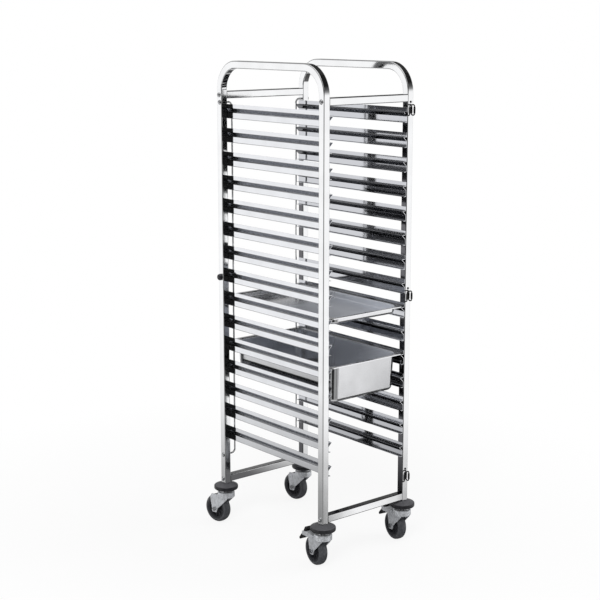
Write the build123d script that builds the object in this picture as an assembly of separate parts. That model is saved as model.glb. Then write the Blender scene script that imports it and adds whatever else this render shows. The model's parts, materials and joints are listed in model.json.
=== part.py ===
from build123d import *
import math
import os

# Tray trolley for full-size food containers, in millimetres.
# X is the width, Y the depth with the loading side towards -Y, Z is up from the floor.

# Square tube that the rack is bent and built from
tube = 25.0
tube_wall = 1.5
tube_corner = 3.0
tube_inside = tube - 2 * tube_wall

# Rack: outside sizes over the tubes, and heights above the floor
rack_width = 380.0
rack_depth = 550.0
arch_top = 1623.0
arch_bend = 85.0
post_foot = 132.0
crossbar_heights = {"top": 1508.5, "bottom": 167.5}

# Casters: the wheel trails behind its swivel, and each one has come to rest at its own small angle
wheel_radius = 50.0
wheel_trail = 38.0
bumper_radius = 42.0
caster_turns = {"front_left": -7.0, "front_right": -9.0, "rear_left": 12.0, "rear_right": 8.0}

# The origin is on the floor, midway along the ground that the casters and bumpers cover
rack_middle = -(wheel_trail + wheel_radius - bumper_radius) / 2
post_x = (rack_width - tube) / 2
post_inner_x = rack_width / 2 - tube
post_reach = (rack_depth - tube) / 2
front_y = rack_middle - post_reach
rear_y = rack_middle + post_reach
caster_spots = {
    "front_left": (-post_x, front_y),
    "front_right": (post_x, front_y),
    "rear_left": (-post_x, rear_y),
    "rear_right": (post_x, rear_y),
}

# Runners: a folded strip whose ledge carries the rim of a container
levels = 15
top_level = 1464.5
level_pitch = 80.0
runner_length = 546.0
runner_sheet = 1.2
runner_bend = 1.6
web_above_ledge = 13.5
ledge_corner_x = 149.5
brace_drop = 14.5
lower_web_foot = 34.5
lip_inner_x = 155.0

# Containers of the full gastronorm size
rim_length = 530.0
rim_width = 325.0
rim_corner = 20.0
rim_height = 3.2
rim_lift = 0.1
pan_sheet = 1.0
mouth_length = 505.0
mouth_width = 299.0
mouth_corner = 38.0
wall_lean = 3.0
mouth_round = 5.0
tray_level = 9
tray_depth = 20.0
tray_floor_round = 8.0
pan_level = 11
pan_depth = 120.0
pan_floor_round = 12.0
container_middle = front_y - tube / 2 + rim_length / 2

# Stop rods behind the containers
rod_radius = 3.0
rod_x = 140.0
rod_bend = 15.0
rod_y = front_y - tube / 2 + rim_length + 1.0 + rod_radius
rod_ends = {"top": 1484.0, "bottom": 256.0}

# Fasteners
bolt_radius = 3.9
bolt_clearance = 0.2
dome_radius = 8.0
dome_height = 6.0
plug_length = 14.0

# Keeper hooks on the front right post
hook_wire = 2.0
hook_width = 21.0
hook_drop = 34.0
hook_stand_off = 7.0
hook_tops = (1487.0, 877.0, 255.0)
hook_screw_rise = 9.0
hook_screw = (4.0, 2.5, 2.5)

# Side buffer on the rear left post
buffer_height = 890.0
buffer_radius = 11.0
buffer_reach = 12.0

# Swivel of a caster, as heights above the floor
bumper_floor = 129.0
bumper_rim_top = 143.0
bumper_collar_top = 151.0
stem_radius = 6.0
stem_top = 158.0
head_radius = 26.0
head_floor = 125.1
crown_top = 120.0
crown_radius = 30.0
crown_skirt = 100.0
fork_sheet = 2.5
kingpin_radius = 5.0
running_gap = 0.05
nut_gap = 0.3
ball_radius = 2.4
ball_circle = 17.0
ball_count = 8
ball_sink = 0.3

# Fork legs, axle and wheel of a caster
leg_inside = 17.0
leg_outside = leg_inside + fork_sheet
leg_tip_radius = 13.0
axle_radius = 4.0
bush_radius = 6.0
hex_across = 13.0
hex_height = 5.5
bolt_proud = 1.5
hub_half = 16.6
hub_barrel = 13.0
hub_web_half = 4.0
hub_ribs = 10
hub_rib_half = 9.0
hub_rib_sheet = 2.0
rim_half = 13.0
rim_inner = 30.0
tyre_seat = 37.0
tyre_half = 14.5
tread_shoulder = 9.0

# Brake of a front caster
brake_plate_z = 104.0
brake_sheet = 2.0
brake_plate_span = (crown_radius, 71.0)
brake_pivot = (86.0, 98.0)
brake_pin_radius = 3.0
pedal_half = 16.0
pedal_hub = 7.0
pedal_up = (79.0, 114.0)
pedal_down = (113.0, 70.0)
shoe_angle = 247.0
shoe_reach = 15.0


def tube_section(length_axis_plane):
    """The hollow square of the tube, drawn on a plane."""
    outline = RectangleRounded(tube, tube, tube_corner)
    hollow = RectangleRounded(tube_inside, tube_inside, tube_corner - tube_wall)
    return length_axis_plane * (outline - hollow)


def bar_along_x(x_from, x_to, y, z, radius):
    """A round bar or drill between two X positions."""
    middle = Pos((x_from + x_to) / 2, y, z)
    return middle * Rot(0, 90, 0) * Cylinder(radius, abs(x_to - x_from))


def level_height(level):
    """Height of a level's ledge, counted from the top."""
    return top_level - (level - 1) * level_pitch


def side_frame(side):
    """One side of the rack: a tube bent into a tall arch, drilled for its bolts and rods."""
    x = side * post_x
    arch = FilletPolyline(
        (x, front_y, post_foot),
        (x, front_y, arch_top - tube / 2),
        (x, rear_y, arch_top - tube / 2),
        (x, rear_y, post_foot),
        radius=arch_bend,
    )
    frame = sweep(tube_section(Plane(arch @ 0, x_dir=(1, 0, 0), z_dir=(0, 0, 1))), path=arch)
    outside = side * (rack_width / 2 + 1)
    inside = side * (post_inner_x - 1)
    drill = bolt_radius + bolt_clearance
    for z in crossbar_heights.values():
        for y in (front_y, rear_y):
            frame -= bar_along_x(inside, outside, y, z, drill)
    for z in rod_ends.values():
        frame -= bar_along_x(inside, outside, rod_y, z, rod_radius + bolt_clearance)
    return frame


def crossbar(y, z):
    """A straight tube between the inner faces of two posts."""
    section = tube_section(Plane((-post_inner_x, y, z), x_dir=(0, 1, 0), z_dir=(1, 0, 0)))
    return extrude(section, amount=2 * post_inner_x)


def runner(side, ledge_z):
    """One runner: web on the posts, ledge, slanting brace back to the posts, lower web and a lip."""
    half = runner_sheet / 2
    web_x = side * (post_inner_x - half)
    foot_z = ledge_z - lower_web_foot + half
    fold = FilletPolyline(
        (web_x, ledge_z + web_above_ledge),
        (web_x, ledge_z - half),
        (side * ledge_corner_x, ledge_z - half),
        (web_x, ledge_z - brace_drop),
        (web_x, foot_z),
        (side * lip_inner_x, foot_z),
        radius=runner_bend,
    )
    profile = Plane.XZ.offset(-rack_middle) * trace(fold, line_width=runner_sheet)
    return extrude(profile, amount=runner_length / 2, both=True)


def rounded_block(width, length, corner, depth, lean, bottom_round):
    """A tapering block with rounded corners that hangs down from Z zero."""
    block = extrude(RectangleRounded(width, length, corner), amount=-depth, taper=lean)
    floor_edges = block.faces().sort_by(Axis.Z)[0].edges()
    return fillet(floor_edges, bottom_round)


def edges_round_mouth(shape, height):
    """The edges at one height that run round the mouth of a container."""
    level = shape.edges().filter_by_position(Axis.Z, height - 0.01, height + 0.01)
    reach_x = mouth_width / 2 + 1
    reach_y = mouth_length / 2 + 1
    return [edge for edge in level if abs(edge.center().X) < reach_x and abs(edge.center().Y) < reach_y]


def container(depth, bottom_round):
    """A pressed container: a rim with a turned-down hem round a leaning, rounded body."""
    mouth_z = rim_height - rim_lift - pan_sheet
    body_depth = depth + mouth_z
    rim_outline = RectangleRounded(rim_width, rim_length, rim_corner)
    hem_width = rim_width - 2 * pan_sheet
    hem_hollow = RectangleRounded(hem_width, rim_length - 2 * pan_sheet, rim_corner - pan_sheet)
    outside = extrude(rim_outline, amount=pan_sheet)
    outside += rounded_block(mouth_width, mouth_length, mouth_corner, body_depth, wall_lean, bottom_round)
    outside = fillet(edges_round_mouth(outside, 0), mouth_round - pan_sheet)
    outside += Pos(0, 0, -mouth_z) * extrude(rim_outline - hem_hollow, amount=mouth_z)
    inside = extrude(Rectangle(2 * rim_width, 2 * rim_length), amount=pan_sheet)
    inside += rounded_block(
        mouth_width - 2 * pan_sheet,
        mouth_length - 2 * pan_sheet,
        mouth_corner - pan_sheet,
        body_depth,
        wall_lean,
        bottom_round - pan_sheet,
    )
    inside = fillet(edges_round_mouth(inside, 0), mouth_round)
    return Pos(0, 0, mouth_z + rim_lift) * (outside - Pos(0, 0, pan_sheet) * inside)


def placed_container(level, depth, bottom_round):
    """A container lying on the ledges of one level, its front end flush with the posts."""
    return Pos(0, container_middle, level_height(level)) * container(depth, bottom_round)


def stop_rod(side):
    """A wire up the back whose ends turn outwards and pass through the rear post."""
    outside = side * (rack_width / 2 + dome_height / 2)
    path = FilletPolyline(
        (outside, rod_y, rod_ends["bottom"]),
        (side * rod_x, rod_y, rod_ends["bottom"]),
        (side * rod_x, rod_y, rod_ends["top"]),
        (outside, rod_y, rod_ends["top"]),
        radius=rod_bend,
    )
    return sweep(Plane(path @ 0, z_dir=path % 0) * Circle(rod_radius), path=path)


def dome(side):
    """A domed head whose flat seat lies on the plane X zero, facing outwards."""
    ball = (dome_radius**2 + dome_height**2) / (2 * dome_height)
    rise = dome_height - ball
    profile = make_face(
        [
            Line((0, 0), (dome_radius, 0)),
            ThreePointArc(
                (dome_radius, 0),
                (ball * math.sin(0.5 * math.asin(dome_radius / ball)),
                 rise + ball * math.cos(0.5 * math.asin(dome_radius / ball))),
                (0, dome_height),
            ),
            Line((0, dome_height), (0, 0)),
        ]
    )
    head = revolve(Plane.XZ * profile, axis=Axis.Z)
    return Rot(0, side * 90, 0) * head


def crossbar_bolt(side, y, z):
    """A dome-headed bolt through a post into the threaded plug of a crossbar."""
    face = side * rack_width / 2
    tip = side * (post_inner_x - plug_length)
    return Pos(face, y, z) * dome(side) + bar_along_x(tip, face, y, z, bolt_radius)


def rod_nut(side, z):
    """A domed nut on the end of a stop rod."""
    face = side * rack_width / 2
    nut = Pos(face, rod_y, z) * dome(side)
    return nut - bar_along_x(face, face + side * dome_height / 2, rod_y, z, rod_radius)


def dome_fasteners():
    """All dome-headed bolts and nuts on the outer faces of the posts."""
    pieces = []
    for side in (-1, 1):
        for z in crossbar_heights.values():
            for y in (front_y, rear_y):
                pieces.append(crossbar_bolt(side, y, z))
        for z in rod_ends.values():
            pieces.append(rod_nut(side, z))
    return Compound(children=pieces)


def threaded_plugs():
    """Plugs inside the tubes: one at each crossbar end and one at the foot of each post."""
    pieces = []
    for side in (-1, 1):
        middle_x = side * (post_inner_x - plug_length / 2)
        for z in crossbar_heights.values():
            for y in (front_y, rear_y):
                plug = Pos(middle_x, y, z) * Box(plug_length, tube_inside, tube_inside)
                plug = fillet(plug.edges().filter_by(Axis.X), tube_corner - tube_wall)
                end = side * (post_inner_x - plug_length - 1)
                pieces.append(plug - bar_along_x(side * post_inner_x, end, y, z, bolt_radius + 0.05))
    hole_depth = stem_top - post_foot
    socket_height = hole_depth + 4
    for x, y in caster_spots.values():
        socket = Pos(x, y, post_foot + socket_height / 2) * Box(tube_inside, tube_inside, socket_height)
        socket = fillet(socket.edges().filter_by(Axis.Z), tube_corner - tube_wall)
        hole = Pos(x, y, post_foot + hole_depth / 2) * Cylinder(stem_radius + 0.05, hole_depth + 0.1)
        pieces.append(socket - hole)
    return Compound(children=pieces)


def keeper_hook(top_z):
    """A wire hook over the front face of the front right post, and the screw above it."""
    front_face = front_y - tube / 2
    wire_y = front_face - hook_stand_off
    left_x = post_x - hook_width / 2
    right_x = post_x + hook_width / 2
    foot_z = top_z - hook_drop
    path = FilletPolyline(
        (left_x, front_face, foot_z),
        (left_x, wire_y, foot_z),
        (left_x, wire_y, top_z),
        (right_x, wire_y, top_z),
        (right_x, wire_y, foot_z),
        (right_x, front_face, foot_z),
        radius=hook_stand_off * 0.8,
    )
    wire = sweep(Plane(path @ 0, z_dir=path % 0) * Circle(hook_wire), path=path)
    seat = Pos(post_x, front_face, top_z + hook_screw_rise) * Rot(90, 0, 0)
    screw = seat * Cone(*hook_screw, align=(Align.CENTER, Align.CENTER, Align.MIN))
    return [wire, screw]


def side_buffer():
    """A rubber button on the outer face of the rear left post."""
    face = -rack_width / 2
    button = bar_along_x(face - buffer_reach, face, rear_y, buffer_height, buffer_radius)
    outer_edge = button.edges().sort_by(Axis.X)[0]
    return fillet(outer_edge, buffer_reach * 0.6)


def bumper(x, y):
    """A soft disc round the foot of a post: thick rim, low cone up to a collar, square pocket."""
    profile = Polyline(
        (stem_radius + 0.3, bumper_floor),
        (bumper_radius, bumper_floor),
        (bumper_radius, bumper_rim_top),
        (tube * 0.76, bumper_collar_top),
        (stem_radius + 0.3, bumper_collar_top),
        close=True,
    )
    disc = revolve(Plane.XZ * make_face(profile), axis=Axis.Z)
    rim_edges = disc.edges().filter_by(GeomType.CIRCLE).group_by(SortBy.RADIUS)[-1]
    disc = fillet(rim_edges, 4.5)
    pocket_depth = bumper_collar_top - post_foot
    pocket = extrude(Pos(0, 0, post_foot) * RectangleRounded(tube, tube, tube_corner), amount=pocket_depth)
    return Pos(x, y, 0) * (disc - pocket)


def swivel_head():
    """Stem, upper race with its skirt, kingpin and the nut that holds the fork up."""
    skirt_z = crown_top + 1.2
    nut_top = crown_top - fork_sheet - nut_gap
    nut_floor = nut_top - 7
    profile = Polyline(
        (0, nut_floor),
        (kingpin_radius + 4, nut_floor),
        (kingpin_radius + 4, nut_top),
        (kingpin_radius, nut_top),
        (kingpin_radius, head_floor),
        (head_radius - 2, head_floor),
        (head_radius - 2, skirt_z),
        (head_radius, skirt_z),
        (head_radius, bumper_floor),
        (stem_radius, bumper_floor),
        (stem_radius, stem_top),
        (0, stem_top),
        close=True,
    )
    return revolve(Plane.XZ * make_face(profile), axis=Axis.Z)


def race_balls():
    """The ring of balls between the crown of the fork and the upper race."""
    centre_z = crown_top + ball_radius - ball_sink
    ring = PolarLocations(ball_circle, ball_count)
    return Compound(children=[Pos(0, 0, centre_z) * spot * Sphere(ball_radius) for spot in ring])


def leg_outline():
    """Side view of a fork leg: broad under the crown, narrowing to a round tip at the axle."""
    tip = (wheel_trail, wheel_radius)
    return FilletPolyline(
        (-20, crown_skirt + 12),
        (-19, crown_skirt - 5),
        (tip[0] - leg_tip_radius + 1, tip[1] + 2),
        (tip[0] - leg_tip_radius + 5, tip[1] - leg_tip_radius),
        (tip[0] + leg_tip_radius - 1, tip[1] - leg_tip_radius),
        (tip[0] + leg_tip_radius + 1, tip[1] + 6),
        (wheel_trail + 21, crown_skirt - 8),
        (wheel_trail + 14, brake_plate_z),
        (crown_radius, brake_plate_z),
        (16, crown_skirt + 12),
        radius=4,
        close=True,
    )


def fork():
    """A pressed fork: round crown with a skirt, and two legs that lean back to the axle."""
    crown_height = crown_top - crown_skirt
    crown = Pos(0, 0, crown_skirt + crown_height / 2) * Cylinder(crown_radius, crown_height)
    crown = fillet(crown.edges().group_by(Axis.Z)[-1], 6)
    cup_height = crown_height - fork_sheet
    cup = Pos(0, 0, crown_skirt + cup_height / 2) * Cylinder(crown_radius - fork_sheet, cup_height)
    crown -= fillet(cup.edges().group_by(Axis.Z)[-1], 4)
    wheel_slot = Pos(0, crown_radius, crown_skirt) * Box(2 * leg_inside, 2 * crown_radius, 12)
    shape = crown - wheel_slot
    leg = make_face(Plane.YZ * leg_outline())
    for x in (-leg_outside, leg_inside):
        shape += Pos(x, 0, 0) * extrude(leg, amount=fork_sheet)
    shape -= Pos(0, 0, crown_top) * Cylinder(kingpin_radius + running_gap, 4 * fork_sheet)
    shape -= Pos(0, 0, crown_top + ball_radius - ball_sink) * Torus(ball_circle, ball_radius)
    legs_end = leg_outside + 1
    return shape - bar_along_x(-legs_end, legs_end, wheel_trail, wheel_radius, axle_radius + running_gap)


def axle():
    """Hexagon bolt, nut and the bush that the hub turns on."""
    centre = Pos(0, wheel_trail, wheel_radius)
    hexagon = extrude(Plane.YZ * RegularPolygon(hex_across / 2, 6, major_radius=False), amount=hex_height)
    head = Pos(-leg_outside - hex_height, 0, 0) * hexagon
    bolt = head + bar_along_x(-leg_outside, leg_outside + hex_height + bolt_proud, 0, 0, axle_radius)
    nut_face = leg_outside + hex_height
    nut = Pos(leg_outside, 0, 0) * hexagon - bar_along_x(leg_outside, nut_face, 0, 0, axle_radius)
    bush = bar_along_x(-leg_inside, leg_inside, 0, 0, bush_radius)
    bush -= bar_along_x(-leg_inside, leg_inside, 0, 0, axle_radius)
    return Compound(children=[centre * piece for piece in (bolt, nut, bush)])


def turned_wheel_part(points):
    """A wheel part turned about the axle from half of its section, given as (across, radius)."""
    mirrored = [(-across, radius) for across, radius in reversed(points)]
    outline = make_face(Polyline(*points, *mirrored, close=True))
    return revolve(outline, axis=Axis.X)


def hub():
    """Moulded wheel centre: long barrel on the bush, thin web, stiffening ribs and a broad rim."""
    wheel = turned_wheel_part(
        [
            (hub_half, bush_radius + running_gap),
            (hub_half, hub_barrel - 2),
            (hub_half - 2, hub_barrel),
            (hub_web_half, hub_barrel + 1),
            (hub_web_half, rim_inner - 1),
            (rim_half, rim_inner + 1),
            (rim_half, tyre_seat),
        ]
    )
    rib_middle = (hub_barrel + rim_inner) / 2
    for turn in range(hub_ribs):
        rib = Pos(0, 0, rib_middle) * Box(2 * hub_rib_half, hub_rib_sheet, rim_inner - hub_barrel + 2)
        wheel += Rot(360 / hub_ribs * turn, 0, 0) * rib
    return Pos(0, wheel_trail, wheel_radius) * wheel


def tyre():
    """Solid tyre with a rounded tread."""
    tread_half = tyre_half - tread_shoulder
    shoulder_z = wheel_radius - tread_shoulder
    step = tread_shoulder * math.sqrt(0.5)
    crown_drop = 0.6
    right = tyre_half
    outline = make_face(
        [
            Line((-right, tyre_seat), (right, tyre_seat)),
            Line((right, tyre_seat), (right, shoulder_z)),
            ThreePointArc(
                (right, shoulder_z),
                (tread_half + step, shoulder_z + step - crown_drop / 2),
                (tread_half, wheel_radius - crown_drop),
            ),
            ThreePointArc(
                (tread_half, wheel_radius - crown_drop),
                (0, wheel_radius),
                (-tread_half, wheel_radius - crown_drop),
            ),
            ThreePointArc(
                (-tread_half, wheel_radius - crown_drop),
                (-tread_half - step, shoulder_z + step - crown_drop / 2),
                (-right, shoulder_z),
            ),
            Line((-right, shoulder_z), (-right, tyre_seat)),
        ]
    )
    return Pos(0, wheel_trail, wheel_radius) * revolve(outline, axis=Axis.X)


def brake_plate():
    """Folded plate over the wheel, with two ears and the pin that the pedal rocks on."""
    plate_from, plate_to = brake_plate_span
    ear_inside = leg_outside
    ear_outside = leg_outside + brake_sheet
    top = Pos(0, (plate_from + plate_to) / 2, brake_plate_z + brake_sheet / 2) * Box(
        2 * ear_outside, plate_to - plate_from, brake_sheet
    )
    pivot_y, pivot_z = brake_pivot
    ear = make_face(
        Plane.YZ
        * FilletPolyline(
            (plate_from, brake_plate_z + brake_sheet),
            (plate_from, brake_plate_z - 6),
            (plate_to - 8, brake_plate_z - 14),
            (pivot_y + 7, pivot_z - 8),
            (pivot_y + 7, pivot_z + 4),
            (plate_to, brake_plate_z + brake_sheet),
            radius=1.5,
            close=True,
        )
    )
    shape = top
    for x in (-ear_outside, ear_inside):
        shape += Pos(x, 0, 0) * extrude(ear, amount=brake_sheet)
    shape += bar_along_x(-ear_outside - 1.5, ear_outside + 1.5, pivot_y, pivot_z, brake_pin_radius)
    return shape


def brake_pedal():
    """Rocking pedal: an upper lobe to let go, a lower lobe to tread on and a shoe at the tyre."""
    angle = math.radians(shoe_angle)
    shoe = (brake_pivot[0] + shoe_reach * math.cos(angle), brake_pivot[1] + shoe_reach * math.sin(angle))
    outline = Sketch()
    for end, radius in ((pedal_up, 5.0), (pedal_down, 4.0), (shoe, 2.0)):
        arm = make_hull(
            (Pos(*brake_pivot) * Circle(pedal_hub)).edges() + (Pos(*end) * Circle(radius)).edges()
        )
        outline += arm
    pedal = extrude(Plane.YZ * outline, amount=pedal_half, both=True)
    return pedal - bar_along_x(-pedal_half, pedal_half, *brake_pivot, brake_pin_radius + running_gap)


def save(name, shape):
    """Write one named piece."""
    shape.label = name
    export_step(shape, os.path.join("parts", name + ".step"))


def save_rack():
    """Frame, runners and fittings that stand still."""
    for side, word in ((-1, "left"), (1, "right")):
        save("side_frame_" + word, side_frame(side))
    for word, z in crossbar_heights.items():
        save("crossbar_" + word + "_front", crossbar(front_y, z))
        save("crossbar_" + word + "_rear", crossbar(rear_y, z))
    for level in range(1, levels + 1):
        pair = [runner(side, level_height(level)) for side in (-1, 1)]
        save(f"runners_level_{level:02d}", Compound(children=pair))
    save("stop_rods", Compound(children=[stop_rod(side) for side in (-1, 1)]))
    save("dome_fasteners", dome_fasteners())
    save("threaded_plugs", threaded_plugs())
    hooks = [piece for top in hook_tops for piece in keeper_hook(top)]
    save("keeper_hooks", Compound(children=hooks))
    save("side_buffer", side_buffer())


def save_caster(name, x, y):
    """One caster, turned to its own angle; front casters carry a brake."""
    place = Pos(x, y, 0) * Rot(0, 0, caster_turns[name])
    save("bumper_" + name, bumper(x, y))
    pieces = {
        "swivel_head": swivel_head,
        "race_balls": race_balls,
        "fork": fork,
        "axle": axle,
        "hub": hub,
        "tyre": tyre,
    }
    if name.startswith("front"):
        pieces["brake_plate"] = brake_plate
        pieces["brake_pedal"] = brake_pedal
    for piece, make in pieces.items():
        save(piece + "_" + name, place * make())


os.makedirs("parts", exist_ok=True)
save_rack()
save("tray", placed_container(tray_level, tray_depth, tray_floor_round))
save("pan", placed_container(pan_level, pan_depth, pan_floor_round))
for caster_name, (caster_x, caster_y) in caster_spots.items():
    save_caster(caster_name, caster_x, caster_y)
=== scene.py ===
# %% [markdown]
# # Tray trolley
# A tall open rack on four casters that carries food containers between kitchen and counter. Two square
# tubes, each bent into an arch, make its sides; folded runners hold the rims of the containers.
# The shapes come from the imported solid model, which is loaded here as a fixed frame in metres. This
# script gives every part its finish, adds small shop details, and sets up camera, floor, room and lamps.

# %% Load the solid model
import json
import math

import bmesh
import bpy
import numpy as np
from mathutils import Euler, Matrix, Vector


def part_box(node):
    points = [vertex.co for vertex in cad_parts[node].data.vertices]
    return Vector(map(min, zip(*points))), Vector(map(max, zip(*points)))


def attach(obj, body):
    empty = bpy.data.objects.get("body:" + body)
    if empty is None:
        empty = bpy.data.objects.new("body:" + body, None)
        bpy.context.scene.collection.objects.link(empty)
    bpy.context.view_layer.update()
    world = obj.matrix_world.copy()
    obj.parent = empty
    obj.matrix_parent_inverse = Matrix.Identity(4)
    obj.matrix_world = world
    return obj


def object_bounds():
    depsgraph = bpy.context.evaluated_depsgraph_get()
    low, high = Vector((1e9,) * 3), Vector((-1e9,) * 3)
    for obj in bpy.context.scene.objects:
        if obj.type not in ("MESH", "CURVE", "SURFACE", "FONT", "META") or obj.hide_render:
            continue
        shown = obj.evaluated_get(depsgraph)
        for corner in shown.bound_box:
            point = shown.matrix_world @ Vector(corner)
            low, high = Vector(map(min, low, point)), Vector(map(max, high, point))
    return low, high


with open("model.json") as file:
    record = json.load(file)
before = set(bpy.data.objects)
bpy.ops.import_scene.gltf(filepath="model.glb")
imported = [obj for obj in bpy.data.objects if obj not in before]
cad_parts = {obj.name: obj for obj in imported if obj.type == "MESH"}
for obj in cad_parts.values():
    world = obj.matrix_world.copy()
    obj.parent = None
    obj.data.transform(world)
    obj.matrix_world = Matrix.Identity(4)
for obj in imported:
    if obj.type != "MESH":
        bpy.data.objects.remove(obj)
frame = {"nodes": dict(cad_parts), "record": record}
cad_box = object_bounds()
print("solid model from", [round(v, 3) for v in cad_box[0]], "to", [round(v, 3) for v in cad_box[1]])

# %% [markdown]
# ## Camera
# The trolley is seen from its left front corner, from a little above the arches. One could aim a camera
# by eye, but the edges of the square tubes and the even steps of the runners give the place, the two
# angles and the lens by calculation, so these are written down as numbers. A small shift stands in for
# the picture being cut off-centre, which is why its verticals lean so little.

# %% Camera
CAMERA_PLACE = (-2.9074, -3.4571, 1.7555)
CAMERA_YAW = 39.70
CAMERA_DOWN = 10.83
CAMERA_LENS = 81.69
CAMERA_SENSOR = 36.0
CAMERA_SHIFT = -1 / 30

camera_data = bpy.data.cameras.new("camera")
camera_data.lens = CAMERA_LENS
camera_data.sensor_width = CAMERA_SENSOR
camera_data.shift_y = CAMERA_SHIFT
camera = bpy.data.objects.new("camera", camera_data)
camera.location = CAMERA_PLACE
camera.rotation_euler = Euler((math.radians(90 - CAMERA_DOWN), 0, math.radians(-CAMERA_YAW)))
bpy.context.scene.collection.objects.link(camera)
bpy.context.scene.camera = camera
bpy.context.scene.view_settings.view_transform = "Standard"
print("camera lens", CAMERA_LENS, "mm, looking down", CAMERA_DOWN, "degrees")

# %% [markdown]
# ## A helper for node graphs
# Floor, room and every finish are small node graphs. Wiring each node by hand takes many lines that
# all look alike, so a helper adds one node at a time and returns its output. A graph then reads like
# a recipe: a sum, a range, a blend. The node that blends two colours has three pairs of inputs with
# the same names, so its colour pair is picked by number.

# %% Graph helper
BLEND_FIRST = 6
BLEND_SECOND = 7
BLEND_RESULT = 2

class Graph:
    """A node tree in the making. Each method adds a node and returns its output."""

    def __init__(self, tree):
        self.tree = tree

    def feed(self, node, socket, value):
        """Give a node's socket a number, a colour or another node's output."""
        if isinstance(value, bpy.types.NodeSocket):
            self.tree.links.new(value, node.inputs[socket])
        elif isinstance(value, tuple) and len(node.inputs[socket].default_value) == 4:
            node.inputs[socket].default_value = (*value, 1)
        else:
            node.inputs[socket].default_value = value

    def output(self, kind, name):
        """The named output of a new node without inputs."""
        return self.tree.nodes.new(kind).outputs[name]

    def math(self, operation, first, second=0.0):
        """One sum on two values."""
        node = self.tree.nodes.new("ShaderNodeMath")
        node.operation = operation
        self.feed(node, 0, first)
        self.feed(node, 1, second)
        return node.outputs[0]

    def vector(self, operation, first, second=None, result="Vector"):
        """One sum on two vectors."""
        node = self.tree.nodes.new("ShaderNodeVectorMath")
        node.operation = operation
        self.feed(node, 0, first)
        if second is not None:
            self.feed(node, 1, second)
        return node.outputs[result]

    def part(self, vector, axis):
        """One of the three parts of a vector."""
        node = self.tree.nodes.new("ShaderNodeSeparateXYZ")
        self.feed(node, 0, vector)
        return node.outputs[axis]

    def range(self, value, low, high, to_low, to_high):
        """Stretch a part of a value's range to a new range, and clamp it."""
        node = self.tree.nodes.new("ShaderNodeMapRange")
        self.feed(node, "Value", value)
        self.feed(node, "From Min", low)
        self.feed(node, "From Max", high)
        self.feed(node, "To Min", to_low)
        self.feed(node, "To Max", to_high)
        return node.outputs[0]

    def ramp(self, value, stops):
        """A grey that follows a value from -1 to 1 through (value, brightness) stops."""
        node = self.tree.nodes.new("ShaderNodeValToRGB")
        self.feed(node, 0, self.range(value, -1.0, 1.0, 0.0, 1.0))
        elements = node.color_ramp.elements
        while len(elements) < len(stops):
            elements.new(0.5)
        for element, (place, brightness) in zip(elements, stops):
            element.position = (place + 1) / 2
            element.color = (brightness, brightness, brightness, 1)
        return node.outputs[0]

    def blend(self, share, first, second):
        """Mix two colours by a share from 0 to 1."""
        node = self.tree.nodes.new("ShaderNodeMix")
        node.data_type = "RGBA"
        self.feed(node, 0, share)
        self.feed(node, BLEND_FIRST, first)
        self.feed(node, BLEND_SECOND, second)
        return node.outputs[BLEND_RESULT]

    def shader(self, kind, colour):
        """A plain shader of one colour."""
        node = self.tree.nodes.new(kind)
        self.feed(node, "Color", colour)
        return node.outputs[0]

    def mix_shaders(self, share, first, second):
        """Mix two shaders by a share from 0 to 1."""
        node = self.tree.nodes.new("ShaderNodeMixShader")
        self.feed(node, 0, share)
        self.feed(node, 1, first)
        self.feed(node, 2, second)
        return node.outputs[0]

    def finish_with(self, kind, shader):
        """Wire the last shader to a new output node."""
        self.feed(self.tree.nodes.new(kind), "Surface", shader)

print("graph helper ready")

# %% [markdown]
# ## Floor
# A plain pale floor that runs on past the picture. A real white floor would have to be lit evenly over
# many metres, so the camera is simply shown white, with a small share of diffuse floor near the wheels
# that keeps their soft shadow. Polished steel mirrors the floor too: under the trolley that is shaded
# floor, which greys the low rear crossbar, and further out it is the room below the horizon.

# %% Floor
WHITE = (1.0, 1.0, 1.0)
FLOOR_REACH = 40.0
FLOOR_GREY = (0.85, 0.85, 0.85)
SHADOW_SHARE = 0.14
SHADOW_FULL_WITHIN = 0.3
SHADOW_GONE_BEYOND = 1.4
MIRRORED_SHADE = 0.8
MIRRORED_SHADE_REACH = 0.25
MIRRORED_SHADE_GREY = (0.02, 0.02, 0.024)

def add_mesh_object(name, points, faces):
    """A mesh object from plain lists of points and faces."""
    mesh = bpy.data.meshes.new(name)
    mesh.from_pydata(points, [], faces)
    mesh.update()
    made = bpy.data.objects.new(name, mesh)
    bpy.context.scene.collection.objects.link(made)
    return made

floor_corners = [(FLOOR_REACH * x, FLOOR_REACH * y, 0) for x, y in ((-1, -1), (1, -1), (1, 1), (-1, 1))]
floor = add_mesh_object("floor", floor_corners, [(0, 1, 2, 3)])
floor_paint = bpy.data.materials.new("pale_floor")
floor_paint.use_nodes = True
floor_paint.node_tree.nodes.clear()
paint = Graph(floor_paint.node_tree)

def beyond(axis, low, high):
    """How far a place on the floor lies outside the trolley's footprint along one axis."""
    place = paint.part(paint.output("ShaderNodeTexCoord", "Object"), axis)
    off_middle = paint.math("ABSOLUTE", paint.math("SUBTRACT", place, (low + high) / 2))
    return paint.math("MAXIMUM", paint.math("SUBTRACT", off_middle, (high - low) / 2), 0.0)

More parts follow.
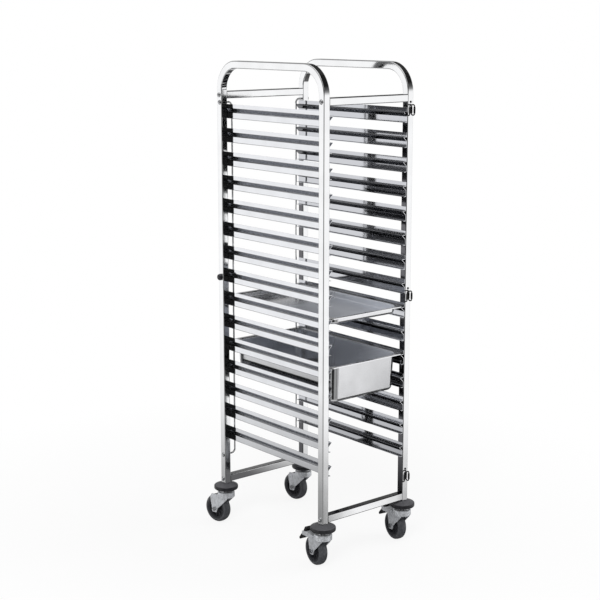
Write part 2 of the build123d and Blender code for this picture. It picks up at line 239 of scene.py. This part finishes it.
away_x = paint.math("POWER", beyond("X", cad_box[0].x, cad_box[1].x), 2.0)
away_y = paint.math("POWER", beyond("Y", cad_box[0].y, cad_box[1].y), 2.0)
away = paint.math("SQRT", paint.math("ADD", away_x, away_y))
shadow_share = paint.range(away, SHADOW_FULL_WITHIN, SHADOW_GONE_BEYOND, SHADOW_SHARE, 0.0)
diffuse_floor = paint.shader("ShaderNodeBsdfDiffuse", FLOOR_GREY)
white_floor = paint.shader("ShaderNodeEmission", WHITE)
seen_floor = paint.mix_shaders(shadow_share, white_floor, diffuse_floor)
shade = paint.range(away, 0.0, MIRRORED_SHADE_REACH, MIRRORED_SHADE, 0.0)
open_floor = paint.shader("ShaderNodeBsdfTransparent", WHITE)
shaded_floor = paint.shader("ShaderNodeEmission", MIRRORED_SHADE_GREY)
mirrored_floor = paint.mix_shaders(shade, open_floor, shaded_floor)
is_camera = paint.output("ShaderNodeLightPath", "Is Camera Ray")
is_glossy = paint.output("ShaderNodeLightPath", "Is Glossy Ray")
floor_look = paint.mix_shaders(is_glossy, diffuse_floor, mirrored_floor)
floor_look = paint.mix_shaders(is_camera, floor_look, seen_floor)
paint.finish_with("ShaderNodeOutputMaterial", floor_look)
floor.data.materials.append(floor_paint)
print("floor", 2 * FLOOR_REACH, "m square")

# %% [markdown]
# ## Room and lamps
# Bright steel has hardly any colour of its own: its black and white bands are the room. Black and
# white cards could stand round the trolley as in a studio, but a room drawn by direction is simpler
# and never shows up in a side view. A white panel stands low on either side. The end where the lens
# stands and the far end are dark, which turns rounded edges, level tops and folds black. The left
# panel fades out sooner towards the floor, so the low parts of the posts go grey on that side, and so
# does the right panel, except for a narrow stretch in its middle that reaches lower.
# A room that is dark at both ends would turn the trolley black for anyone who walks round it. So the
# ends hold lit stretches as well, which only steel that faces the room mirrors: light that has gone
# from steel to steel into a fold finds the ends dark. For the same reason the ceiling and the floor
# glow, except along an arc on the right, which the bends of the arches mirror as their black stripes.
# Paint, rubber and plastic get a plain even light instead, with a soft key lamp from the left and a
# weaker lamp from the right. The lists below pair a height, from -1 for the floor to 1 for the ceiling,
# with the brightness there; the lit stretches at the ends pair an angle in degrees with theirs.

# %% Brightness of the room by height
DARK = 0.012
UPPER_HALF = ((0.05, 1.0), (0.13, 0.3), (0.25, 0.10), (0.42, DARK), (0.90, DARK), (0.96, 0.9))
LEFT_PANEL = (
    (-1.0, DARK), (-0.46, DARK), (-0.40, 0.05), (-0.34, 0.33), (-0.27, 0.92), (-0.2, 1.0),
    *UPPER_HALF,
)
RIGHT_PANEL = ((-1.0, 0.1), (-0.62, 0.2), (-0.45, 0.9), (-0.40, 1.0), *UPPER_HALF)
RIGHT_PANEL_SHORT = (
    (-1.0, DARK), (-0.40, 0.12), (-0.357, 0.24), (-0.339, 0.45), (-0.313, 0.65), (-0.285, 1.0),
    *UPPER_HALF,
)
FAR_END = (
    (-1.0, DARK), (-0.26, 0.02), (-0.10, 0.10), (0.06, 0.16), (0.21, 0.42), (0.31, 0.22),
    (0.34, 0.04), (0.60, 0.03),
)
HIGH_AND_LOW_GLOW = (
    (-1.0, 0.55), (-0.54, 0.55), (-0.45, 0.0), (0.26, 0.0), (0.36, 0.30), (0.76, 0.35),
    (0.84, 0.8), (1.0, 0.9),
)
print("five courses of brightness from floor to ceiling")

# %% Brightness of the room by direction
DARK_END = (-0.646, -0.763, 0.0)
RIGHT_SIDE = (0.763, -0.646, 0.0)
NEAR_EDGE_OF_PANELS = (0.62, 0.40)
FAR_EDGE_OF_PANELS = (-0.72, -0.42)
SEAM_OF_PANELS = (-0.1, 0.1)
SHORT_BEFORE_MIDDLE = (0.140, 0.151)
SHORT_BEHIND_MIDDLE = (0.1025, 0.0995)
LIT_ENDS = (
    (-180, 0.85), (-173, 0.85), (-166, DARK), (-142, DARK), (-138, 0.35), (-129, 0.35), (-125, DARK),
    (-104, DARK), (-97, 0.32), (-80, 0.32), (-70, DARK), (-12, DARK), (-5, 0.8), (8, 0.7), (16, 0.15),
    (34, 0.15), (40, 0.5), (52, 0.5), (58, 0.15), (74, 0.2), (82, 0.8), (98, 0.8), (110, DARK),
    (168, DARK), (175, 0.85), (180, 0.85),
)
LIT_ENDS_STOP = (0.0, 0.06)
HALF_TURN = 180
DARK_ARC_MIDDLE = 0.625
DARK_ARC_EDGE = (0.09, 0.12)
DARK_ARC_TOP = (0.76, 0.80)
print(len(LIT_ENDS), "stops round the room")

# %% Room
ROOM_LIGHT = (0.62, 0.62, 0.62)
PAST_FIRST_MIRROR = 1.5

world = bpy.data.worlds.new("studio")
world.use_nodes = True
world.node_tree.nodes.clear()
bpy.context.scene.world = world
studio = Graph(world.node_tree)
direction = studio.output("ShaderNodeTexCoord", "Generated")
height = studio.part(direction, "Z")
level_direction = studio.vector("NORMALIZE", studio.vector("MULTIPLY", direction, Vector((1, 1, 0))))
towards_dark_end = studio.vector("DOT_PRODUCT", level_direction, Vector(DARK_END), "Value")
towards_right = studio.vector("DOT_PRODUCT", level_direction, Vector(RIGHT_SIDE), "Value")

before_middle = studio.range(towards_dark_end, *SHORT_BEFORE_MIDDLE, 0.0, 1.0)
behind_middle = studio.range(towards_dark_end, *SHORT_BEHIND_MIDDLE, 0.0, 1.0)
short_part = studio.math("MAXIMUM", before_middle, behind_middle)
long_fade = studio.ramp(height, RIGHT_PANEL)
short_fade = studio.ramp(height, RIGHT_PANEL_SHORT)
right_panel = studio.blend(short_part, long_fade, short_fade)
on_right = studio.range(towards_right, *SEAM_OF_PANELS, 0.0, 1.0)
panels = studio.blend(on_right, studio.ramp(height, LEFT_PANEL), right_panel)
off_near_end = studio.range(towards_dark_end, *NEAR_EDGE_OF_PANELS, DARK, 1.0)
off_far_end = studio.range(towards_dark_end, *FAR_EDGE_OF_PANELS, 0.0, 1.0)
panel_light = studio.math("MULTIPLY", panels, off_near_end)
mirrored = studio.blend(off_far_end, studio.ramp(height, FAR_END), panel_light)

turn = studio.math("ARCTAN2", studio.part(direction, "Y"), studio.part(direction, "X"))
stops_round = [(angle / HALF_TURN, lit) for angle, lit in LIT_ENDS]
lit_stretches = studio.ramp(studio.math("DIVIDE", turn, math.pi), stops_round)
below_horizon = studio.range(height, *LIT_ENDS_STOP, 1.0, 0.0)
lit_stretches = studio.math("MULTIPLY", lit_stretches, below_horizon)
off_middle = studio.math("SUBTRACT", studio.part(direction, "X"), DARK_ARC_MIDDLE)
beside_arc = studio.range(studio.math("ABSOLUTE", off_middle), *DARK_ARC_EDGE, 0.0, 1.0)
past_arc = studio.range(studio.math("ABSOLUTE", height), *DARK_ARC_TOP, 0.0, 1.0)
off_arc = studio.math("MAXIMUM", beside_arc, past_arc)
glow = studio.math("MULTIPLY", studio.ramp(height, HIGH_AND_LOW_GLOW), off_arc)
facing_room = studio.math("MAXIMUM", studio.math("MAXIMUM", mirrored, lit_stretches), glow)

glossy_depth = studio.output("ShaderNodeLightPath", "Glossy Depth")
first_mirror = studio.math("LESS_THAN", glossy_depth, PAST_FIRST_MIRROR)
room_light = studio.blend(first_mirror, mirrored, facing_room)
mirrored_room = studio.shader("ShaderNodeBackground", room_light)
plain_room = studio.shader("ShaderNodeBackground", ROOM_LIGHT)
white_room = studio.shader("ShaderNodeBackground", WHITE)
is_camera = studio.output("ShaderNodeLightPath", "Is Camera Ray")
is_glossy = studio.output("ShaderNodeLightPath", "Is Glossy Ray")
room_look = studio.mix_shaders(is_glossy, plain_room, mirrored_room)
room_look = studio.mix_shaders(is_camera, room_look, white_room)
studio.finish_with("ShaderNodeOutputWorld", room_look)
print("room light", ROOM_LIGHT)

# %% Lamps
LAMP_AIM = (0, 0, 0.8)

def soft_lamp(name, place, size, watts):
    """A square soft lamp that looks at the middle of the trolley and isn't seen in the steel."""
    data = bpy.data.lights.new(name, "AREA")
    data.size = size
    data.energy = watts
    lamp = bpy.data.objects.new(name, data)
    lamp.location = place
    lamp.rotation_euler = (Vector(LAMP_AIM) - Vector(place)).to_track_quat("-Z", "Y").to_euler()
    lamp.visible_glossy = False
    bpy.context.scene.collection.objects.link(lamp)

soft_lamp("key_lamp", place=(-3.0, -2.5, 3.6), size=2.0, watts=120)
soft_lamp("fill_lamp", place=(3.2, -1.8, 2.4), size=2.4, watts=45)
print("two soft lamps")

# %% [markdown]
# ## Finishes
# Each finish is a node material. A painted picture would blur close by and would need every part
# unwrapped, so what varies over the surface comes from noise that is placed in metres. A finish starts
# from the standard shader; whatever is the same all over is set on the shader's own socket.

# %% Finish helper
class Finish(Graph):
    """A node material that ends in the standard shader."""

    def __init__(self, name, metal, colour, roughness):
        self.material = bpy.data.materials.new(name)
        self.material.use_nodes = True
        super().__init__(self.material.node_tree)
        self.skin = self.tree.nodes["Principled BSDF"]
        self.put("Metallic", metal)
        self.put("Base Color", colour)
        self.put("Roughness", roughness)
        self.place = self.output("ShaderNodeTexCoord", "Object")

    def put(self, socket, value):
        """Set or drive one of the shader's own sockets."""
        self.feed(self.skin, socket, value)

    def stretched(self, scale):
        """The place on the object in metres, multiplied along each axis."""
        return self.vector("MULTIPLY", self.place, Vector(scale))

    def facing(self, axis):
        """How far the surface faces along one axis, from -1 to 1."""
        return self.part(self.output("ShaderNodeTexCoord", "Normal"), axis)

    def noise(self, scale, detail=3.0, place=None):
        """Cloudy noise; scale is in cells for each metre."""
        node = self.tree.nodes.new("ShaderNodeTexNoise")
        self.feed(node, "Vector", place or self.place)
        self.feed(node, "Scale", scale)
        self.feed(node, "Detail", detail)
        return node.outputs["Fac"]

    def relief(self, height, strength, depth, under=None):
        """Fine relief from a height; depth is in metres. It can lie over a coarser relief."""
        node = self.tree.nodes.new("ShaderNodeBump")
        self.feed(node, "Strength", strength)
        self.feed(node, "Distance", depth)
        self.feed(node, "Height", height)
        if under:
            self.feed(node, "Normal", under)
        return node.outputs[0]

print("finish helper ready")

# %% [markdown]
# ### Bright stainless
# The tubes are drawn and polished, the runners are rolled sheet and the containers are pressed. All
# three are the same stainless steel, so one recipe serves them. What tells them apart is the direction
# of the fine lines, how far a reflection is blurred, and how much the surface waves. The crossbars and
# the wire of the stop rods need nothing more than the recipe.

# %% Bright stainless
GRAIN_ACROSS = 1500.0
GRAIN_ALONG = 10.0
GRAIN_SPAN = (0.35, 0.75)
GRAIN_BLUR = 0.02
GRAIN_STRENGTH = 0.08
GRAIN_DEPTH = 0.00002
SMEARS_PER_METRE = 9.0
SMEAR_SPAN = (0.3, 0.75)
TONES_PER_METRE = 16.0
TONE_SPAN = (0.4, 0.75)
DARKER_TONE = 0.94
WAVES_PER_METRE = 11.0
WAVE_STRENGTH = 0.3

def bright_steel(name, colour, rough, grain_axis, wave_depth):
    """Polished stainless with fine lines along one axis, faint smears and a slight waviness."""
    finish = Finish(name, 1.0, colour, rough[0])
    scale = [GRAIN_ACROSS] * 3
    scale["XYZ".index(grain_axis)] = GRAIN_ALONG
    lines = finish.noise(1.0, 2.0, finish.stretched(scale))
    smears = finish.range(finish.noise(SMEARS_PER_METRE, 4.0), *SMEAR_SPAN, *rough)
    finish.rough = finish.math("ADD", smears, finish.range(lines, *GRAIN_SPAN, 0.0, GRAIN_BLUR))
    tint = finish.range(finish.noise(TONES_PER_METRE), *TONE_SPAN, 0.0, 1.0)
    finish.colour = finish.blend(tint, colour, tuple(part * DARKER_TONE for part in colour))
    finish.put("Roughness", finish.rough)
    finish.put("Base Color", finish.colour)
    waves = finish.relief(finish.noise(WAVES_PER_METRE, 1.0), WAVE_STRENGTH, wave_depth)
    finish.put("Normal", finish.relief(lines, GRAIN_STRENGTH, GRAIN_DEPTH, waves))
    return finish

TUBE_STEEL = (0.93, 0.935, 0.945)
TUBE_ROUGH = (0.04, 0.08)
TUBE_WAVES = 0.0003
tube_across = bright_steel("tube_across_steel", TUBE_STEEL, TUBE_ROUGH, "X", TUBE_WAVES).material
wire_steel = bright_steel("stop_rod_steel", TUBE_STEEL, (0.1, 0.16), "Z", 0.0001).material
print("two stainless finishes")

# %% [markdown]
# ### Side frame tube
# Below the arch the inner face of each post is painted dark grey. This is painted shade, standing in for
# the shade that falls between the fifteen runners. A second material on those faces would end in a hard
# line, so the finish darkens the spots that face the middle of the trolley and fades the painted shade
# out at the height of the upper crossbars.

# %% Side frame tube
# The dark grey below is painted shade on the inner faces of the posts; the next two numbers say where it
# fades out.
POST_PAINTED_SHADE = (0.14, 0.14, 0.15)
PAINTED_SHADE_TOP = 1.487
PAINTED_SHADE_FADE = 0.03
SQUARELY = 0.7

upright = bright_steel("tube_upright_steel", TUBE_STEEL, TUBE_ROUGH, "Z", TUBE_WAVES)
upright_side = upright.math("SIGN", upright.part(upright.place, "X"))
outward = upright.math("MULTIPLY", upright_side, upright.facing("X"))
faces_in = upright.math("LESS_THAN", outward, -SQUARELY)
below_arch = upright.range(upright.part(upright.place, "Z"), PAINTED_SHADE_TOP - PAINTED_SHADE_FADE, PAINTED_SHADE_TOP, 1.0, 0.0)
painted_shade_share = upright.math("MULTIPLY", faces_in, below_arch)
# Paint the shade between the runners onto the inner faces below the arch.
upright.put("Base Color", upright.blend(painted_shade_share, upright.colour, POST_PAINTED_SHADE))
tube_upright = upright.material
print("painted shade below", PAINTED_SHADE_TOP, "m")

# %% [markdown]
# ### Container sheet
# A container is drawn from sheet. Outside and on its short walls it keeps its polish. The floor and the
# long walls inside are satin from ladles and washing, most of all in the front half that people reach.
# It could be cut into an inside and an outside, but all of it is one skin, so the finish asks which
# way each spot faces and how far back it lies.

# %% Container sheet
CONTAINER_STEEL = (0.90, 0.905, 0.925)
SATIN_STEEL = (0.77, 0.80, 0.87)
SATIN_ROUGH = 0.32
SATIN_METAL = 0.55
INSIDE_TURN = 0.3
RIM_SHARE = 0.7
MIDDLE_SHARE = 0.5
HANDLED_PART = (0.58, 0.80)
HARDLY_HANDLED = 0.3

pressed = bright_steel("container_pressed_steel", CONTAINER_STEEL, (0.10, 0.16), "Y", 0.0006)
spot = pressed.output("ShaderNodeTexCoord", "Generated")
below_rim = pressed.math("LESS_THAN", pressed.part(spot, "Z"), RIM_SHARE)
upward = pressed.math("GREATER_THAN", pressed.facing("Z"), INSIDE_TURN)
on_floor = pressed.math("MULTIPLY", below_rim, upward)
pressed_side = pressed.math("SIGN", pressed.math("SUBTRACT", pressed.part(spot, "X"), MIDDLE_SHARE))
outward = pressed.math("MULTIPLY", pressed_side, pressed.facing("X"))
on_long_wall = pressed.math("LESS_THAN", outward, -INSIDE_TURN)
handled = pressed.range(pressed.part(spot, "Y"), *HANDLED_PART, 1.0, HARDLY_HANDLED)
satin = pressed.math("MULTIPLY", pressed.math("MAXIMUM", on_floor, on_long_wall), handled)
satin_rough = pressed.math("MULTIPLY", satin, SATIN_ROUGH)
pressed.put("Base Color", pressed.blend(satin, pressed.colour, SATIN_STEEL))
pressed.put("Roughness", pressed.math("MAXIMUM", pressed.rough, satin_rough))
pressed.put("Metallic", pressed.range(satin, 0.0, 1.0, 1.0, SATIN_METAL))
container_steel = pressed.material
print("satin floor and long walls, polish elsewhere")

# %% [markdown]
# ### Runner sheet
# The runners are polished on the flats that show. The open fold under each ledge is painted darker and
# duller, and the slanting brace is painted near black on its inner side. This is painted shade for the
# shade in the fold, and it draws the black line along every level. The faces towards the middle are
# painted a darker steel too. All this could be separate pieces, but it is one sheet, so the finish finds
# each stretch by its place below the ledge and by the side of the sheet that it is on.

# %% Where the folds of the runners are
WEB_ABOVE_LEDGE = 0.0135
SHEET = 0.0012

top_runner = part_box("runners_level_01")
top_ledge = top_runner[1].z - WEB_ABOVE_LEDGE
level_pitch = top_runner[1].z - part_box("runners_level_02")[1].z
web_inner_face = top_runner[1].x - SHEET
print("ledges every", round(level_pitch * 1000), "mm, the highest at", round(top_ledge * 1000), "mm")

# %% Runner sheet
RUNNER_STEEL = (0.84, 0.85, 0.88)
# A darker steel for the runner faces that face the middle of the trolley.
INNER_FACE_STEEL = (0.62, 0.63, 0.665)
# The fold and brace colours are painted shade: darker steel in the fold, near black on the brace.
FOLD_PAINTED_SHADE = (0.60, 0.61, 0.64)
FOLD_ROUGH = 0.25
BRACE_PAINTED_SHADE = (0.15, 0.155, 0.17)
FOLD_TOP = 0.0008
FOLD_FOOT = 0.0142
SLANTING = 0.12
FACING_DOWN = 0.8

sheet = bright_steel("runner_sheet_steel", RUNNER_STEEL, (0.035, 0.07), "Y", 0.0003)
below_top_ledge = sheet.math("SUBTRACT", top_ledge, sheet.part(sheet.place, "Z"))
below_ledge = sheet.math("MODULO", sheet.math("ADD", below_top_ledge, level_pitch), level_pitch)
side_x = sheet.part(sheet.place, "X")
outward = sheet.math("MULTIPLY", sheet.math("SIGN", side_x), sheet.facing("X"))

off_web = sheet.math("LESS_THAN", sheet.math("ABSOLUTE", side_x), web_inner_face - SHEET / 4)
below_top = sheet.math("GREATER_THAN", below_ledge, FOLD_TOP)
above_foot = sheet.math("LESS_THAN", below_ledge, FOLD_FOOT)
fold_height = sheet.math("MULTIPLY", sheet.math("MULTIPLY", off_web, below_top), above_foot)
faces_down = sheet.math("LESS_THAN", sheet.facing("Z"), -FACING_DOWN)
near_ledge = sheet.math("LESS_THAN", below_ledge, FOLD_TOP + SHEET)
under_ledge = sheet.math("MULTIPLY", faces_down, near_ledge)
brace_outside = sheet.math("GREATER_THAN", outward, SLANTING)
in_fold = sheet.math("MULTIPLY", fold_height, sheet.math("MAXIMUM", brace_outside, under_ledge))
brace_inside = sheet.math("MULTIPLY", fold_height, sheet.math("LESS_THAN", outward, -SLANTING))
faces_middle = sheet.math("LESS_THAN", outward, -SQUARELY)

# Faces towards the middle of the trolley get the darker steel.
tone = sheet.blend(faces_middle, sheet.colour, INNER_FACE_STEEL)
# Painted shade: the fold is darkened, and the inner side of the brace is painted near black.
tone = sheet.blend(in_fold, tone, FOLD_PAINTED_SHADE)
fold_rough = sheet.math("MULTIPLY", in_fold, FOLD_ROUGH)
sheet.put("Base Color", sheet.blend(brace_inside, tone, BRACE_PAINTED_SHADE))
sheet.put("Roughness", sheet.math("MAXIMUM", sheet.rough, fold_rough))
runner_steel = sheet.material
print("painted fold shade from", FOLD_TOP, "to", FOLD_FOOT, "m below each ledge")

# %% [markdown]
# ### Zinc plate
# Bolts, races and caster forks are plain steel under bright zinc. Zinc is a little duller and bluer
# than stainless. One even tone would look painted: real zinc drifts in soft patches, and pressing leaves
# faint upright streaks, so two noises move colour and roughness. The fork is not a perfect mirror: part
# of it scatters as paint does, which is the passivated film over the zinc.

# %% Zinc plate
STREAK_CELLS = (3.0, 3.0, 0.4)
WORN_ROUGH_SPAN = (0.35, 0.65)
WORN_TONE_SPAN = (0.40, 0.60)
WORN_TONE = (0.66, 0.66, 0.65)
PEEL_PER_METRE = 900.0
PEEL_STRENGTH = 0.15
PEEL_DEPTH = 0.0001

def zinc_plate(name, colour, metal, rough, cell):
    """Zinc plating with soft patches, faint upright streaks and a fine orange-peel relief."""
    finish = Finish(name, metal, colour, rough[0])
    patches = finish.noise(1.0 / cell)
    streaks = finish.noise(1.0, place=finish.stretched([cells / cell for cells in STREAK_CELLS]))
    worn = finish.math("MULTIPLY", finish.math("ADD", patches, streaks), 0.5)
    darker = tuple(part * share for part, share in zip(colour, WORN_TONE))
    finish.put("Roughness", finish.range(worn, *WORN_ROUGH_SPAN, *rough))
    finish.put("Base Color", finish.blend(finish.range(worn, *WORN_TONE_SPAN, 0.0, 1.0), colour, darker))
    peel = finish.noise(PEEL_PER_METRE, 2.0)
    finish.put("Normal", finish.relief(peel, PEEL_STRENGTH, PEEL_DEPTH))
    return finish.material

plated_steel = zinc_plate("bolt_zinc", (0.78, 0.79, 0.81), metal=1.0, rough=(0.15, 0.26), cell=0.006)
fork_steel = zinc_plate("fork_zinc", (0.80, 0.82, 0.86), metal=0.55, rough=(0.24, 0.42), cell=0.010)
print("two zinc finishes")

# %% [markdown]
# ### Rubber, plastic and paint
# The dark parts differ in how they take light: tyres are dull, bumpers are smooth with a black rim,
# the pedals are glossy mouldings, and the keeper hooks are painted wire. The top of a bumper is painted
# greyer than its rim. Part of that is kitchen dust, which settles on whatever looks up, and part is
# painted light, as a lit top would look. The top could have a material of its own, but dust and light
# have no edge, so the finish asks how far each spot faces upwards.

# %% Rubber, plastic and paint
CLOUDS_PER_METRE = 35.0
CLOUD_SPAN = (0.3, 0.7)
DUST_PER_METRE = 120.0
DUST_SPAN = (0.45, 0.8)
LOOKS_UP = (0.35, 0.95)
MOULD_GRAIN_STRENGTH = 0.3

def dark_moulding(name, colour, dust, dust_share, rough, grain, depth=0.0001, top_dust_and_light=0.0):
    """A dark moulded or painted skin with fine grain, soft dust and a drifting gloss, and if asked a
    greyer top that is partly dust and partly painted light.
    """
    finish = Finish(name, 0.0, colour, rough[0])
    finish.put("Roughness", finish.range(finish.noise(CLOUDS_PER_METRE, 5.0), *CLOUD_SPAN, *rough))
    share = finish.range(finish.noise(DUST_PER_METRE, 4.0), *DUST_SPAN, 0.0, dust_share)
    # A share that grows where the surface faces up gives a greyer top: dust, and painted light.
    if top_dust_and_light:
        share = finish.math("ADD", share, finish.range(finish.facing("Z"), *LOOKS_UP, 0.0, top_dust_and_light))
    finish.put("Base Color", finish.blend(share, colour, dust))
    finish.put("Normal", finish.relief(finish.noise(grain), MOULD_GRAIN_STRENGTH, depth))
    return finish.material

# The bumper's greyer top is partly dust and partly painted light.
bumper_rubber = dark_moulding(
    "bumper_rubber_skin", (0.012, 0.012, 0.015), dust=(0.13, 0.13, 0.14), dust_share=0.1,
    rough=(0.30, 0.45), grain=1400.0, top_dust_and_light=0.65,
)
tyre_rubber = dark_moulding(
    "tyre_rubber_tread", (0.046, 0.048, 0.054), dust=(0.12, 0.12, 0.13), dust_share=0.45,
    rough=(0.34, 0.5), grain=900.0, depth=0.0002,
)
hub_plastic = dark_moulding(
    "hub_moulding", (0.022, 0.023, 0.027), dust=(0.07, 0.07, 0.075), dust_share=0.4,
    rough=(0.3, 0.45), grain=1100.0,
)
plug_plastic = dark_moulding(
    "plug_moulding", (0.05, 0.05, 0.05), dust=(0.09, 0.09, 0.09), dust_share=0.3,
    rough=(0.5, 0.65), grain=1100.0,
)
pedal_plastic = dark_moulding(
    "pedal_moulding", (0.010, 0.010, 0.011), dust=(0.05, 0.05, 0.05), dust_share=0.2,
    rough=(0.14, 0.26), grain=1500.0, depth=0.00005,
)
hook_paint = dark_moulding(
    "hook_black_paint", (0.006, 0.006, 0.007), dust=(0.03, 0.03, 0.03), dust_share=0.2,
    rough=(0.45, 0.6), grain=1300.0,
)
print("six dark finishes")

# %% [markdown]
# ## Dress the solid parts
# Every solid part keeps its shape. Sixty parts could be dressed one by one, but the record already names
# a slot for each, so one table from slots to finishes does it. The crossbars run sideways, so they take
# the same tube steel with its lines turned.

# %% Dress the solid parts
finish_of_slot = {
    "tube_steel": tube_upright,
    "runner_steel": runner_steel,
    "container_steel": container_steel,
    "wire_steel": wire_steel,
    "plated_steel": plated_steel,
    "fork_steel": fork_steel,
    "hook_steel": hook_paint,
    "plug_plastic": plug_plastic,
    "bumper_rubber": bumper_rubber,
    "tyre_rubber": tyre_rubber,
    "hub_plastic": hub_plastic,
    "pedal_plastic": pedal_plastic,
}

def dress(node, material):
    """Give one solid part its finish in all of its material slots."""
    part = frame["nodes"][node]
    if not part.material_slots:
        part.data.materials.append(material)
    for material_slot in part.material_slots:
        material_slot.material = material

for row in frame["record"]["subparts"]:
    dress(row["node"], finish_of_slot[row["material_slot"]])
for bar in [name for name in frame["nodes"] if name.startswith("crossbar")]:
    dress(bar, tube_across)
print(len(frame["nodes"]), "solid parts dressed")

# %% [markdown]
# ## Small shop details
# Three kinds of small round pieces are too fine for the solid model: weld beads, rubber sleeves on the
# keeper hooks, and a raised ring on both walls of every tyre. Each could be a curve with a bevel, but
# a bead needs a radius that swells and shrinks, so one helper skins a row of rings into a mesh.

# %% Tube helper
TUBE_SIDES = 16

def add_tubes(name, tubes, body, material):
    """One object of round tubes. A tube is its ring centres, their radii, a vector across it, and
    whether it closes on itself."""
    points, faces = [], []
    for centres, radii, across, closed in tubes:
        first, count = len(points), len(centres)
        for index, (centre, radius) in enumerate(zip(centres, radii)):
            ahead = centres[(index + 1) % count] if closed or index + 1 < count else centre
            behind = centres[index - 1] if closed or index else centre
            other = (ahead - behind).normalized().cross(across)
            for side in range(TUBE_SIDES):
                angle = 2 * math.pi * side / TUBE_SIDES
                points.append(centre + radius * (math.cos(angle) * across + math.sin(angle) * other))
        for ring in range(count if closed else count - 1):
            low, high = first + ring * TUBE_SIDES, first + (ring + 1) % count * TUBE_SIDES
            for side in range(TUBE_SIDES):
                following = (side + 1) % TUBE_SIDES
                faces.append((low + side, low + following, high + following, high + side))
        if not closed:
            faces.append(tuple(range(first + TUBE_SIDES - 1, first - 1, -1)))
            faces.append(tuple(range(len(points) - TUBE_SIDES, len(points))))
    made = add_mesh_object(name, points, faces)
    shell = bmesh.new()
    shell.from_mesh(made.data)
    bmesh.ops.recalc_face_normals(shell, faces=shell.faces)
    shell.to_mesh(made.data)
    shell.free()
    made.data.shade_smooth()
    made.data.materials.append(material)
    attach(made, body)

print("tube helper ready")

# %% [markdown]
# ### Weld beads
# Each runner is welded to its two posts along the top edge of its web. A hand-laid bead looks like a
# row of overlapping coins. Separate coins would leave faces inside each other, so the bead is one tube
# whose radius rises and falls along its length. Its steel takes the zinc recipe in a duller tone.

# %% Weld beads
LEVELS = 15
POST_INSET = 0.007
BEAD_LENGTH = 0.012
BEAD_RADIUS = 0.0010
BEAD_COINS = 6
RINGS_TO_A_COIN = 4
COIN_SWELL = 0.14
BEAD_TIP = 0.5

weld_steel = zinc_plate("weld_bead_steel", (0.62, 0.61, 0.60), metal=1.0, rough=(0.22, 0.38), cell=0.004)
rings = BEAD_COINS * RINGS_TO_A_COIN
coin_turns = [2 * math.pi * ring / RINGS_TO_A_COIN for ring in range(rings + 1)]
bead_radii = [BEAD_RADIUS * (1 - COIN_SWELL + COIN_SWELL * math.cos(turn)) for turn in coin_turns]
bead_radii[0] = bead_radii[-1] = BEAD_RADIUS * BEAD_TIP
bead_x = top_runner[1].x - SHEET / 3
bead_starts = (top_runner[0].y + POST_INSET, top_runner[1].y - POST_INSET - BEAD_LENGTH)
beads = []
for level in range(LEVELS):
    for side in (-1, 1):
        for start in bead_starts:
            foot = Vector((side * bead_x, start, top_runner[1].z - level * level_pitch))
            centres = [foot + Vector((0, BEAD_LENGTH * ring / rings, 0)) for ring in range(rings + 1)]
            beads.append((centres, bead_radii, Vector((1, 0, 0)), False))
add_tubes("weld_beads", beads, "rack", weld_steel)
print(len(beads), "weld beads")

# %% [markdown]
# ### Sleeves on the keeper hooks
# The legs of the three hooks look thicker than bare wire: a soft sleeve on each leg keeps the wire from
# scratching a container that slides past. A plain cylinder would end too sharply, so a sleeve is a short
# tube with pulled-in ends, given as steps down from the hook's top and the radius at each step.

# %% Sleeves on the keeper hooks
HOOK_TOPS = (1.487, 0.877, 0.255)
HOOK_WIRE_RADIUS = 0.002
SLEEVE_STEPS = (0.007, 0.0078, 0.0095, 0.026, 0.0277, 0.0285)
SLEEVE_RADII = (0.0022, 0.0029, 0.0033, 0.0033, 0.0029, 0.0022)

hook_low, hook_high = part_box("keeper_hooks")
leg_y = hook_low.y + HOOK_WIRE_RADIUS
sleeves = []
for top in HOOK_TOPS:
    for leg_x in (hook_low.x + HOOK_WIRE_RADIUS, hook_high.x - HOOK_WIRE_RADIUS):
        centres = [Vector((leg_x, leg_y, top - step)) for step in SLEEVE_STEPS]
        sleeves.append((centres, SLEEVE_RADII, Vector((1, 0, 0)), False))
add_tubes("hook_sleeves", sleeves, "rack", hook_paint)
print(len(sleeves), "sleeves")

# %% [markdown]
# ### Rings on the tyre walls
# A moulded tyre has a raised ring round each wall, where the halves of the mould meet the rim. It could
# be drawn with relief alone, but a ring that stands out catches a true edge of light. The casters
# don't stand square, so the ring takes its axis from the tyre: of all directions, the points of a tyre
# spread least along its axle.

# %% Rings on the tyre walls
RING_RADIUS = 0.0412
RING_THICK = 0.0009
RING_OFFSET = 0.0142
RING_STEPS = 72

ring_rubber = dark_moulding(
    "tyre_wall_rubber", (0.075, 0.078, 0.085), dust=(0.16, 0.16, 0.17), dust_share=0.4,
    rough=(0.3, 0.45), grain=900.0,
)
up = Vector((0, 0, 1))
ring_turns = [2 * math.pi * step / RING_STEPS for step in range(RING_STEPS)]
for corner in ("front_left", "front_right", "rear_left", "rear_right"):
    tyre = frame["nodes"]["tyre_" + corner]
    spots = np.array([vertex.co for vertex in tyre.data.vertices])
    tyre_low, tyre_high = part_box("tyre_" + corner)
    middle = (tyre_low + tyre_high) / 2
    directions = np.linalg.eigh(np.cov((spots - np.array(middle)).T))[1]
    axle = Vector(directions[:, 0]).normalized()
    forward = axle.cross(up).normalized()
    arms = [math.cos(turn) * forward + math.sin(turn) * up for turn in ring_turns]
    walls = []
    for wall in (-1, 1):
        centres = [middle + wall * RING_OFFSET * axle + RING_RADIUS * arm for arm in arms]
        walls.append((centres, [RING_THICK] * RING_STEPS, axle, True))
    add_tubes("tyre_rings_" + corner, walls, "wheel_" + corner, ring_rubber)
print("two rings on each of four tyres")
